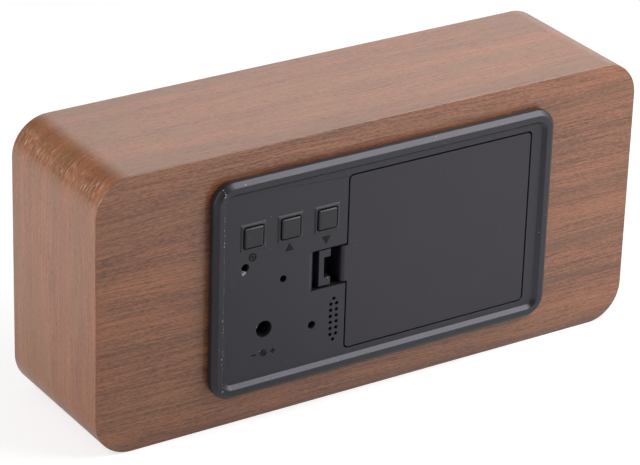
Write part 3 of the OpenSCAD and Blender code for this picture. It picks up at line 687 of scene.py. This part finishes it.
# %% Build a node network
class Board:
    """The node network of one material or of the world."""

    def __init__(self, owner):
        owner.use_nodes = True
        self.owner = owner
        self.tree = owner.node_tree
        self.tree.nodes.clear()

    def add(self, kind, settings=None, sockets=None, output=0):
        node = self.tree.nodes.new(kind)
        for key, value in (settings or {}).items():
            setattr(node, key, value)
        for key, value in (sockets or {}).items():
            if isinstance(value, Flow):
                self.tree.links.new(value.socket, node.inputs[key])
            else:
                node.inputs[key].default_value = value
        return Flow(self, node.outputs[output]) if node.outputs else None

    def place(self):
        """The piece's own coordinates."""
        return self.add("ShaderNodeTexCoord", None, None, "Object")

    def axes(self, vector):
        """The three numbers of a vector."""
        outputs = self.add("ShaderNodeSeparateXYZ", None, {0: vector}).socket.node.outputs
        return [Flow(self, outputs[axis]) for axis in "XYZ"]

    def distance(self, place, spot):
        return self.add("ShaderNodeVectorMath", {"operation": "DISTANCE"}, {0: place, 1: spot}, "Value")

    def noise(self, vector, scale, detail=2):
        """Soft noise; a scale of three numbers stretches it."""
        if not isinstance(scale, (int, float)):
            vector = self.add("ShaderNodeVectorMath", {"operation": "MULTIPLY"}, {0: vector, 1: scale})
            scale = 1
        return self.add("ShaderNodeTexNoise", None, {"Vector": vector, "Scale": scale, "Detail": detail})

    def mix(self, factor, first, second, blend="MIX"):
        """Blends two colours."""
        return self.add("ShaderNodeMix", {"data_type": "RGBA", "blend_type": blend},
                        {0: factor, 6: first, 7: second}, 2)

    def bump(self, height, distance, strength):
        return self.add("ShaderNodeBump", None,
                        {"Height": height, "Distance": distance, "Strength": strength})

    def surface(self, **sockets):
        """Ends the network in a Principled shader. Underscores in a name stand for spaces."""
        named = {key.replace("_", " "): value for key, value in sockets.items()}
        shader = self.add("ShaderNodeBsdfPrincipled", None, named)
        self.add("ShaderNodeOutputMaterial", None, {"Surface": shader})
        return self.owner


# %% [markdown]
# A colour picked on a screen isn't the amount of light that a shader takes, so `paint` turns one into the
# other. `dress` puts finishes on a piece, in the order of its material slots.


# %% Start a finish and put it on
def finish(name):
    return Board(bpy.data.materials.new(name))


def dress(piece, *materials):
    piece.data.materials.clear()
    for material in materials:
        piece.data.materials.append(material)


def paint(red, green, blue):
    """A colour picked on a screen, 0 to 255, as the light values that a shader takes."""
    def light(c):
        c /= 255
        return c / 12.92 if c <= 0.04045 else ((c + 0.055) / 1.055) ** 2.4
    return (light(red), light(green), light(blue), 1)


# %% [markdown]
# ## The wood film
# The print shows walnut: soft bands, fine lines in them, a short grit between the lines and small dark
# pores. A picture of wood could be laid on it, but noise that is stretched along the grain needs no file and
# never repeats. A slow noise first pushes the lines sideways so that they wander as real ones do. The film
# is satin, and its pores are pressed in a little.

# %% Choose the film's colours and scales
FILM_DARK = paint(98, 60, 41)
FILM_LIGHT = paint(176, 113, 79)
FILM_OLIVE = paint(130, 96, 62)
FILM_PORE = paint(84, 48, 34)
FILM_GLOSS = 0.85
FILM_ROUGH, BAND_ROUGH, PORE_ROUGH = 0.26, 0.08, 0.15
FILM_RELIEF, RELIEF_STRENGTH = 0.02 * MM, 0.5
STREAK_RELIEF, LINE_RELIEF = 0.4, 0.6

# Each noise: how often it changes along, across and from sheet to sheet, then its detail.
DRIFT, DRIFT_SHIFT = ((14, 50, 7), 2), 6 * MM
RIPPLE, RIPPLE_SHIFT = ((160, 420, 7), 1), 0.5 * MM
BANDS, BAND_TONE = ((5, 150, 11), 2), 0.24
STREAKS, STREAK_TONE = ((45, 1900, 11), 1), 0.14
LINES, LINE_TONE = ((60, 4300, 11), 1), 0.36
GRIT, GRIT_TONE = ((900, 5200, 11), 0), 0.26
TONE_RANGE = (-0.15, 0.15)
PORES, PORE_RANGE, PORE_TINT = ((300, 4600, 17), 0), (0.60, 0.72), 0.25
PATCHES, PATCH_RANGE = ((22, 150, 23), 2), (0.44, 0.66)
print("film from", [round(c, 3) for c in FILM_DARK[:3]], "to", [round(c, 3) for c in FILM_LIGHT[:3]])

# %% [markdown]
# The sheets differ a little. The one round the case has a quieter print with more olive patches, pale streaks
# on its rounded edges that are painted highlight, and on top a narrow darker strip along the back edge with
# a painted shade that darkens the top towards it. The back's own sheet has painted shade towards its foot, by
# the floor, and is rusty along the end by the buttons.

# %% Choose what sets the sheets apart
SHEET_EDGE = 0.1
WRAP_PRINT = 0.7
OLIVE_WRAP, OLIVE_LESS = 0.42, 0.24
# Painted highlight: pale streaks on the wrap's rounded edges stand in for glints.
FILM_GLINT_STREAK, GLINT_STREAK_TINT = paint(236, 196, 164), 0.60
GLINT_STREAKS, GLINT_STREAK_RANGE = ((380, 5600, 29), 0), (0.60, 0.74)
GLINT_STREAKS_AT = case_high.x - CORNER_R + CORNER_R * math.radians(52)
GLINT_STREAKS_HALF = CORNER_R * math.radians(26)
# The top is darker in a narrow strip along its back edge.
TOP_EDGE_FROM, TOP_EDGE_FULL, TOP_EDGE_TINT = case_high.y - 0.5 * MM, case_high.y - 0.2 * MM, 0.4
# Painted shade: the top darkens over 12 mm towards its back edge.
SHADE_FROM, SHADE_TINT = TOP_EDGE_FULL - 12 * MM, 0.3
# Painted shade: the back darkens over its lowest 4.2 mm, next to the floor.
FOOT_SHADE_COLOUR, FOOT_SHADE_HEIGHT, FOOT_SHADE_TINT = paint(84, 62, 58), 4.2 * MM, 0.5
FILM_RUST, RUST_TINT = paint(160, 92, 56), 0.35
RUST_FROM, RUST_FULL = case_high.x - 1.1 * MM, case_high.x - 0.3 * MM


def on_flat(sheet):
    """1 on the flat sheets and 0 on the one round the case."""
    return sheet.between(WRAP_SHEET + SHEET_EDGE, BACK_SHEET - SHEET_EDGE)


def sheet_marks(board, colour, place, along, level, sheet):
    """Adds to the print what only one of the sheets shows."""
    flat_sheet = on_flat(sheet)
    # Painted highlight: pale glint streaks along the middle of each rounded edge.
    off_ridge = abs(abs(along) - GLINT_STREAKS_AT) + flat_sheet
    glint_streak_mask = board.noise(place, *GLINT_STREAKS).between(*GLINT_STREAK_RANGE) * off_ridge.between(GLINT_STREAKS_HALF, 0)
    colour = board.mix(glint_streak_mask * GLINT_STREAK_TINT, colour, FILM_GLINT_STREAK)
    upright = flat_sheet * sheet.between(UNDER_SHEET - SHEET_EDGE, UNDER_SHEET - 2 * SHEET_EDGE)
    # Painted shade at the foot of the back and the front, by the floor.
    colour = board.mix(level.between(FOOT_SHADE_HEIGHT, 0) * upright * FOOT_SHADE_TINT, colour, FOOT_SHADE_COLOUR)
    colour = board.mix(along.between(RUST_FROM, RUST_FULL) * upright * RUST_TINT, colour, FILM_RUST)
    on_top = abs(along).between(case_high.x, case_high.x - CORNER_R) * (1 - flat_sheet)
    # Darker in a narrow strip along the top's back edge.
    dark_top_edge = level.between(TOP_EDGE_FROM, TOP_EDGE_FULL) * TOP_EDGE_TINT
    # Painted shade: the top darkens towards its back edge.
    shade = level.between(SHADE_FROM, TOP_EDGE_FULL) * SHADE_TINT
    return board.mix((dark_top_edge + shade) * on_top, colour, FILM_DARK)


# %% [markdown]
# The print itself is a sum of the noises. Their weighted sum picks a tone between the dark and the light
# colour, and the patches, the pores and the marks of the sheets are blended over it one by one.


# %% Mix the wood film
def film_print(board):
    """Colour, roughness and height of the printed film at a place on its sheet."""
    grain = board.add("ShaderNodeAttribute", {"attribute_name": "grain"}, None, "Vector")
    along, level, sheet = board.axes(grain)
    drift, ripple = board.noise(grain, *DRIFT).swing(), board.noise(grain, *RIPPLE).swing()
    across = level + drift * DRIFT_SHIFT + ripple * RIPPLE_SHIFT
    place = board.add("ShaderNodeCombineXYZ", None, {"X": along, "Y": across, "Z": sheet})
    bands, streaks, lines, grit, pores, patches = (
        board.noise(place, *layer) for layer in (BANDS, STREAKS, LINES, GRIT, PORES, PATCHES))
    flat_sheet = on_flat(sheet)
    strength = WRAP_PRINT + flat_sheet * (1 - WRAP_PRINT)
    tone = bands.swing() * BAND_TONE + streaks.swing() * STREAK_TONE
    tone = (tone + lines.swing() * LINE_TONE + grit.swing() * GRIT_TONE) * strength
    colour = board.mix(tone.between(*TONE_RANGE), FILM_DARK, FILM_LIGHT)
    olive = patches.between(*PATCH_RANGE) * (OLIVE_WRAP - flat_sheet * OLIVE_LESS)
    colour = board.mix(olive, colour, FILM_OLIVE)
    pore = pores.between(*PORE_RANGE)
    colour = board.mix(pore * PORE_TINT * strength, colour, FILM_PORE)
    colour = sheet_marks(board, colour, place, along, level, sheet)
    rough = FILM_ROUGH + bands * BAND_ROUGH + pore * PORE_ROUGH
    height = streaks * STREAK_RELIEF + lines * LINE_RELIEF - pore
    return colour, rough, height


def film_surface(board, colour, rough, height, **more):
    return board.surface(Base_Color=colour, Roughness=rough, Specular_IOR_Level=FILM_GLOSS,
                         Normal=board.bump(height, FILM_RELIEF, RELIEF_STRENGTH), **more)


film = finish("wood_film")
dress(case, film_surface(film, *film_print(film)))
print("film nodes:", len(film.tree.nodes))

# %% [markdown]
# ## Digits behind the veneer
# The light cells behind the veneer are known solids, so the lit ones are found by their place in each
# digit. Long cells are the bars of a digit, and round ones are the dots between hours and minutes.

# %% Find the lit cells
SHOWN_TIME = "1008"
BARS = {"0": "abcdef", "1": "bc", "8": "abcdefg"}
BARS_PER_DIGIT = 7
BAR_RATIO = 2

cells = solids_of("segment_diffusers")
cell_sizes = [(high - low) for low, high in cells]
bar_cells = [box for box, size in zip(cells, cell_sizes)
             if max(size.x, size.z) > BAR_RATIO * min(size.x, size.z)]
dot_cells = [box for box in cells if box not in bar_cells]


def digits_of(boxes):
    """Groups the bars, seven to a digit, from the left of the front view."""
    rows = sorted(boxes, key=lambda box: centre_of(box).x)
    return [rows[i:i + BARS_PER_DIGIT] for i in range(0, len(rows), BARS_PER_DIGIT)]


def bar_letter(box, digit):
    """Usual letter of a bar: a top, b and c right, d bottom, e and f left, g middle."""
    middle = sum((centre_of(b) for b in digit), Vector()) / len(digit)
    away = centre_of(box) - middle
    if abs(away.x) < MM:
        return "g" if abs(away.z) < MM else "a" if away.z > 0 else "d"
    if away.x > 0:
        return "b" if away.z > 0 else "c"
    return "f" if away.z > 0 else "e"


lit = [box for digit, figure in zip(digits_of(bar_cells), SHOWN_TIME)
       for box in digit if bar_letter(box, digit) in BARS[figure]]
print("lit bars:", len(lit), "dots:", len(dot_cells))

# %% [markdown]
# In the finish, each lit bar is a distance formula, and the nearest bar decides how much light comes
# through. The edge is soft because the sheet spreads the light, and the grain still shows in it. Lamps
# behind a see-through sheet could do this too, but a glow in the finish is far quicker to render.

# %% Light the digits
LIGHT_EDGE = 0.35 * MM
DIGIT_LIGHT = paint(255, 244, 226)
DIGIT_STRENGTH = 1.15
GRAIN_IN_LIGHT = 0.35
FRONT_FROM, FRONT_FULL = -0.8, -0.95


def off_bar(x, z, box):
    """Distance from a bar with pointed ends, below zero inside it."""
    middle, size = centre_of(box), box[1] - box[0]
    along, across = abs(x - middle.x), abs(z - middle.z)
    if size.z > size.x:
        along, across = across, along
    length, width = max(size.x, size.z), min(size.x, size.z)
    return (across - width / 2).math("MAXIMUM", along + across - length / 2)


def off_dot(x, z, box):
    """Distance from a round dot, below zero inside it."""
    middle, radius = centre_of(box), (box[1].x - box[0].x) / 2
    return ((x - middle.x) * (x - middle.x) + (z - middle.z) * (z - middle.z)).math("SQRT") - radius


def veneer_finish():
    board = finish("veneer")
    colour, rough, height = film_print(board)
    x, _, z = board.axes(board.place())
    nearest, *others = [off_bar(x, z, box) for box in lit] + [off_dot(x, z, box) for box in dot_cells]
    for off in others:
        nearest = nearest.math("MINIMUM", off)
    _, facing, _ = board.axes(board.add("ShaderNodeNewGeometry", None, None, "True Normal"))
    glow = nearest.between(LIGHT_EDGE, -LIGHT_EDGE) * facing.between(FRONT_FROM, FRONT_FULL)
    shine = board.mix(glow, (0, 0, 0, 1), DIGIT_LIGHT)
    return film_surface(board, colour, rough, height,
                        Emission_Color=board.mix(GRAIN_IN_LIGHT, shine, colour, "MULTIPLY"),
                        Emission_Strength=DIGIT_STRENGTH)


dress(veneer, veneer_finish())
print("veneer nodes:", len(veneer.active_material.node_tree.nodes))

# %% [markdown]
# ## Black plastic
# The mouldings are satin black with the fine texture that a sparked mould leaves, and the cover's glint is
# faintly blue. The door comes from another mould and is a little smoother and warmer. Rounded edges get a
# lighter finish with small pale specks, partly wear and partly painted highlight. More specks gather along
# the rim's inner edge at the end by the buttons, with a pale scuff beside the sensor hole and a painted glint
# on the edge of the power inlet.

# %% Mix the plastics
CLOUD, TEXTURE, FLECK = (55, 3), (4200, 2), (2100, 0)
CLOUD_RANGE, CLOUD_SHARE, TEXTURE_SHARE = (0.3, 0.7), 0.6, 0.4
CLOUD_ROUGH, TEXTURE_ROUGH = 0.1, 0.08
PLASTIC_RELIEF, PLASTIC_STRENGTH = 0.01 * MM, 0.35
SPECK_EDGE, SPECK_TINT = 0.03, 0.7
HANDLED_X = cover_box[1].x - 2.5 * MM
HANDLED_HALF = 0.6 * MM
HANDLED_MORE = 0.2
SCUFF_AND_GLINT_RANGE, SPECK_AND_GLINT_COLOUR = (0.42, 0.52), paint(190, 190, 190)


def moulded_plastic(name, colour, pale, rough, specks, gloss=0.6, glint=(1, 1, 1, 1), scuffs_and_glints=()):
    """Satin plastic; fewer specks show where their threshold is higher."""
    board = finish(name)
    place = board.place()
    cloud, texture, fleck = (board.noise(place, *layer) for layer in (CLOUD, TEXTURE, FLECK))
    tone = board.mix(cloud.between(*CLOUD_RANGE) * CLOUD_SHARE + texture * TEXTURE_SHARE, colour, pale)
    handled = abs(board.axes(place)[0] - HANDLED_X).between(HANDLED_HALF, 0)
    pale_spots = (fleck + handled * HANDLED_MORE).between(specks, specks + SPECK_EDGE) * SPECK_TINT
    # Pale spots round given places: a real scuff by the sensor hole and a painted glint on the inlet's edge.
    for spot, radius in scuffs_and_glints:
        scuff_or_glint = board.distance(place, spot).between(radius, radius / 2) * texture.between(*SCUFF_AND_GLINT_RANGE)
        pale_spots = pale_spots.math("MAXIMUM", scuff_or_glint)
    tone = board.mix(pale_spots, tone, SPECK_AND_GLINT_COLOUR)
    uneven = rough + cloud.swing() * CLOUD_ROUGH + texture.swing() * TEXTURE_ROUGH
    return board.surface(Base_Color=tone, Roughness=uneven, Specular_IOR_Level=gloss, Specular_Tint=glint,
                         Normal=board.bump(texture, PLASTIC_RELIEF, PLASTIC_STRENGTH))


# %% [markdown]
# The cover, its edges, the door, the buttons and the signs differ only in colour, gloss, wear and painted
# light, a painted highlight on the edges and painted shade on the signs, so one recipe makes all five
# finishes.

# %% Finish the mouldings
SENSOR_SCUFF, SENSOR_SCUFF_R = Vector((0.45, 0, -1.25)) * MM, 0.75 * MM
# Painted highlight: a pale glint on the edge of the power inlet.
INLET_GLINT, INLET_GLINT_R = Vector((1.8, 0, 0.9)) * MM, 0.35 * MM
on_cover = {
    "glint": (0.91, 0.89, 1, 1),
    "scuffs_and_glints": [(under("thermistor", 0) + SENSOR_SCUFF, SENSOR_SCUFF_R),
               (under("dc_jack", 0) + INLET_GLINT, INLET_GLINT_R)],
}
cover_black = moulded_plastic("cover_plastic", paint(30, 30, 33), paint(36, 36, 40),
                              rough=0.40, specks=0.86, **on_cover)
# Wear and painted highlight: the rounded edges get a lighter, speckled copy of the cover's plastic.
edge_wear_and_highlight = moulded_plastic("edge_wear_and_highlight", paint(33, 32, 36), paint(43, 42, 47),
                             rough=0.36, specks=0.69, **on_cover)
door_black = moulded_plastic("door_plastic", paint(31, 25, 38), paint(37, 31, 44),
                             rough=0.38, specks=0.88, gloss=0.55)
key_black = moulded_plastic("button_plastic", paint(17, 15, 24), paint(22, 20, 29),
                            rough=0.38, specks=0.9, gloss=0.56)
# Painted shade: the raised signs are darker than the cover, as sunk letters look in shade.
sign_shaded_black = moulded_plastic("sign_plastic_painted_shade", paint(14, 12, 16), paint(18, 16, 20),
                             rough=0.5, specks=0.9, gloss=0.25)

dress(cover, cover_black, edge_wear_and_highlight)
dress(door, door_black, edge_wear_and_highlight)
for key in keys.values():
    dress(key, key_black, edge_wear_and_highlight)
for sign in signs:
    dress(sign, sign_shaded_black)
for sign in bay_signs:
    dress(sign, cover_black)
print("plastics:", [m.name for m in (cover_black, edge_wear_and_highlight, door_black, key_black, sign_shaded_black)])

# %% [markdown]
# ## Metals, boards and small parts
# The inner pieces show only when the door is open or the clock is taken apart. One recipe covers them: a
# base colour that a noise shifts towards a second one, a roughness that follows the same noise, and a fine
# bump.

# %% Mix the small parts' finishes
MOTTLE_DETAIL, MOTTLE_RANGE, MOTTLE_ROUGH = 3, (0.3, 0.7), 0.2
SMALL_RELIEF, SMALL_STRENGTH = 0.01 * MM, 0.2


def small_part(name, colour, second, rough, metal=0.0, scale=900, stretch=(1, 1, 1)):
    board = finish(name)
    mottle = board.noise(board.place(), tuple(scale * s for s in stretch), MOTTLE_DETAIL)
    tone = board.mix(mottle.between(*MOTTLE_RANGE), paint(*colour), paint(*second))
    return board.surface(Base_Color=tone, Metallic=metal, Roughness=rough + mottle.swing() * MOTTLE_ROUGH,
                         Normal=board.bump(mottle, SMALL_RELIEF, SMALL_STRENGTH))


nickel = small_part("nickel", (205, 202, 196), (184, 180, 172),
                    rough=0.24, metal=1.0, scale=700, stretch=(1, 0.2, 1))
steel = small_part("steel", (178, 178, 180), (150, 150, 152),
                   rough=0.34, metal=1.0, scale=1500, stretch=(1, 0.15, 1))
brass = small_part("brass", (206, 168, 92), (184, 144, 70), rough=0.28, metal=1.0)
white = small_part("white_plastic", (228, 227, 222), (214, 213, 207), rough=0.5)
black = small_part("component_plastic", (26, 26, 28), (38, 38, 40), rough=0.35)
milky = small_part("diffuser", (236, 230, 214), (226, 219, 200), rough=0.3)
resin = small_part("led", (236, 214, 120), (220, 190, 90), rough=0.2, scale=2500)
bead = small_part("bead", (96, 46, 30), (72, 34, 22), rough=0.2)
green = small_part("solder_mask", (18, 84, 44), (12, 62, 34), rough=0.36, scale=320, stretch=(1, 1, 3))
ribbon = small_part("ribbon", (176, 178, 180), (142, 144, 148), rough=0.5, scale=1300, stretch=(1, 0, 0))
red_lead = small_part("lead_red", (170, 26, 24), (140, 18, 18), rough=0.45)
black_lead = small_part("lead_black", (26, 26, 26), (38, 38, 38), rough=0.45)

# %% [markdown]
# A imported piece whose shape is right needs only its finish, so each one is listed under the finish that it
# takes. The new springs get the same nickel as their plates.

# %% Finish the inner pieces
inner_pieces = [
    (white, "display_reflector", "ribbon_plugs"),
    (milky, "segment_diffusers"),
    (resin, "display_leds"),
    (green, "display_board", "control_board"),
    (steel, "display_screws", "board_screws", "microphone", "clock_crystal"),
    (ribbon, "ribbon_cable"),
    (nickel, "contact_plates"),
    (red_lead, "battery_lead_red"),
    (black_lead, "battery_lead_black"),
    (black, "tact_switches", "dc_jack", "buzzer", "microcontroller"),
    (black, "set_plunger", "up_plunger", "down_plunger"),
    (brass, "dc_jack_pin"),
    (bead, "thermistor"),
]
for material, *names in inner_pieces:
    for node in names:
        dress(nodes[node], material)
for spring in springs:
    dress(spring, nickel)
print("inner pieces finished:", sum(len(names) for _, *names in inner_pieces))

# %% [markdown]
# ## The studio
# The studio is white and plain. The white that the camera sees comes from the background's own colour,
# through Light Path, so the lamps can stay at a plain level. Satin faces mirror the room, so reflections
# see a room that is darker to the left.

# %% Set up the room
FILL_LIGHT = 0.25
ROOM_LEFT = 0.05
ROOM_FROM, ROOM_FULL = 0.1, -0.45

scene = bpy.context.scene
scene.view_settings.view_transform = "Standard"


def ray_kinds(board):
    """Two switches: rays that show the background straight or through glass, and rays in a reflection."""
    path = board.add("ShaderNodeLightPath").socket.node.outputs
    straight, gloss, through = (Flow(board, path[name]) for name in
                                ("Is Camera Ray", "Is Glossy Ray", "Is Transmission Ray"))
    return straight.math("MAXIMUM", through), gloss


scene.world = bpy.data.worlds.new("studio")
sky = Board(scene.world)
straight, gloss = ray_kinds(sky)
heading, _, _ = sky.axes(sky.add("ShaderNodeTexCoord", None, None, "Generated"))
room = ROOM_LEFT + heading.between(ROOM_FROM, ROOM_FULL) * (1 - ROOM_LEFT)
strength = FILL_LIGHT + straight * (1 - FILL_LIGHT) + gloss * (room - FILL_LIGHT)
sky.add("ShaderNodeOutputWorld", None, {
    "Surface": sky.add("ShaderNodeBackground", None, {"Color": (1, 1, 1, 1), "Strength": strength})})
print("view transform:", scene.view_settings.view_transform)

# %% [markdown]
# The floor is pale paper that still takes the clock's shadow. What the camera sees of it is lifted to white
# by a little glow of its own, and reflections see a soft sheen on it that fades close to the clock.

# %% Lay the floor
FLOOR_SIZE = 6.0
FLOOR_GAP = 0.02 * MM
FLOOR_GLOW = 0.62
FLOOR_SHEEN = 0.42
DIM_AT = Vector((0.13, 0.10, 0))
DIM_NEAR, DIM_FAR = 0.04, 0.19
PAPER_TONES = paint(188, 188, 188), paint(192, 192, 192)
PAPER_CLOUD = (3, 2)

bpy.ops.object.select_all(action="DESELECT")
bpy.ops.mesh.primitive_plane_add(size=FLOOR_SIZE, location=(0, 0, cad_low.z - FLOOR_GAP))
floor = bpy.context.object
floor.name = "floor"
paper = finish("paper")
paper_place = paper.place()
paper_tone = paper.mix(paper.noise(paper_place, *PAPER_CLOUD), *PAPER_TONES)
straight, gloss = ray_kinds(paper)
sheen = paper.distance(paper_place, DIM_AT).between(DIM_NEAR, DIM_FAR) * FLOOR_SHEEN
paper_light = paper.add("ShaderNodeEmission", None, {"Strength": straight * FLOOR_GLOW + gloss * sheen})
paper_body = paper.add("ShaderNodeBsdfDiffuse", None, {"Color": paper_tone})
paper.add("ShaderNodeOutputMaterial", None, {
    "Surface": paper.add("ShaderNodeAddShader", None, {0: paper_body, 1: paper_light})})
dress(floor, paper.owner)
print("floor at", floor.location.z)


# %% [markdown]
# Three square area lamps give soft light: a small one close to the clock, above the right of its back, a
# large one on the left, and a weak card in front.


# %% Hang the lamps
def soft_lamp(name, direction, distance, size, watts):
    """A square area lamp that looks at the clock from a direction."""
    place = Vector(direction).normalized() * distance + VIEW_POINT
    turn = (place - VIEW_POINT).to_track_quat("Z", "Y").to_euler()
    bpy.ops.object.light_add(type="AREA", location=place, rotation=turn)
    lamp = bpy.context.object
    lamp.name = name
    lamp.data.shape = "SQUARE"
    lamp.data.size = size
    lamp.data.energy = watts
    print("lamp", name, "at", [round(x, 3) for x in place])


soft_lamp("key", (-0.57, 0.44, 0.69), distance=0.33, size=0.25, watts=0.96)
soft_lamp("left", (0.90, -0.08, 0.43), distance=1.0, size=1.0, watts=9.0)
soft_lamp("front_card", (-0.49, -0.75, 0.44), distance=1.0, size=0.7, watts=0.4)
